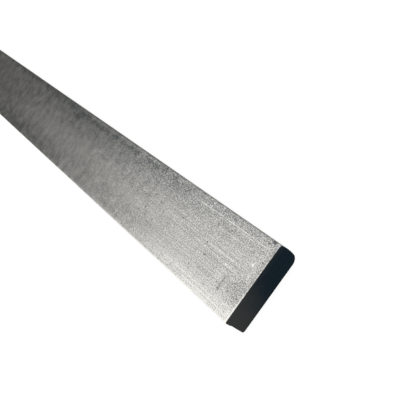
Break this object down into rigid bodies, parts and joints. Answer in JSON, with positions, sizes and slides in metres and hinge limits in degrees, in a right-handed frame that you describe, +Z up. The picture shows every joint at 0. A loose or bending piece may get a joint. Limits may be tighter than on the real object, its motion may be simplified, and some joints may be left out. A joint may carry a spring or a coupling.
{
  "type": "stainless steel flat bar",
  "caption": "Straight length of hot rolled stainless flat bar with a crowned edge, eased corners and sawn ends, one end painted black.",
  "frame": {"origin": "middle of the underside: mid length, mid width, on the face that the bar lies on", "axes": "+Y along the length, away from the black painted end; +X across the width, towards the crowned edge; +Z up, through the thickness"},
  "size_m": [0.03, 0.5, 0.01],
  "materials": {
    "stainless_steel": "hot rolled, annealed and pickled: matt pale grey with a fine grain, fine scratches along the length and one end painted black"
  },
  "bodies": {
    "root": {"flat_bar": "stainless_steel"}
  },
  "joints": []
}
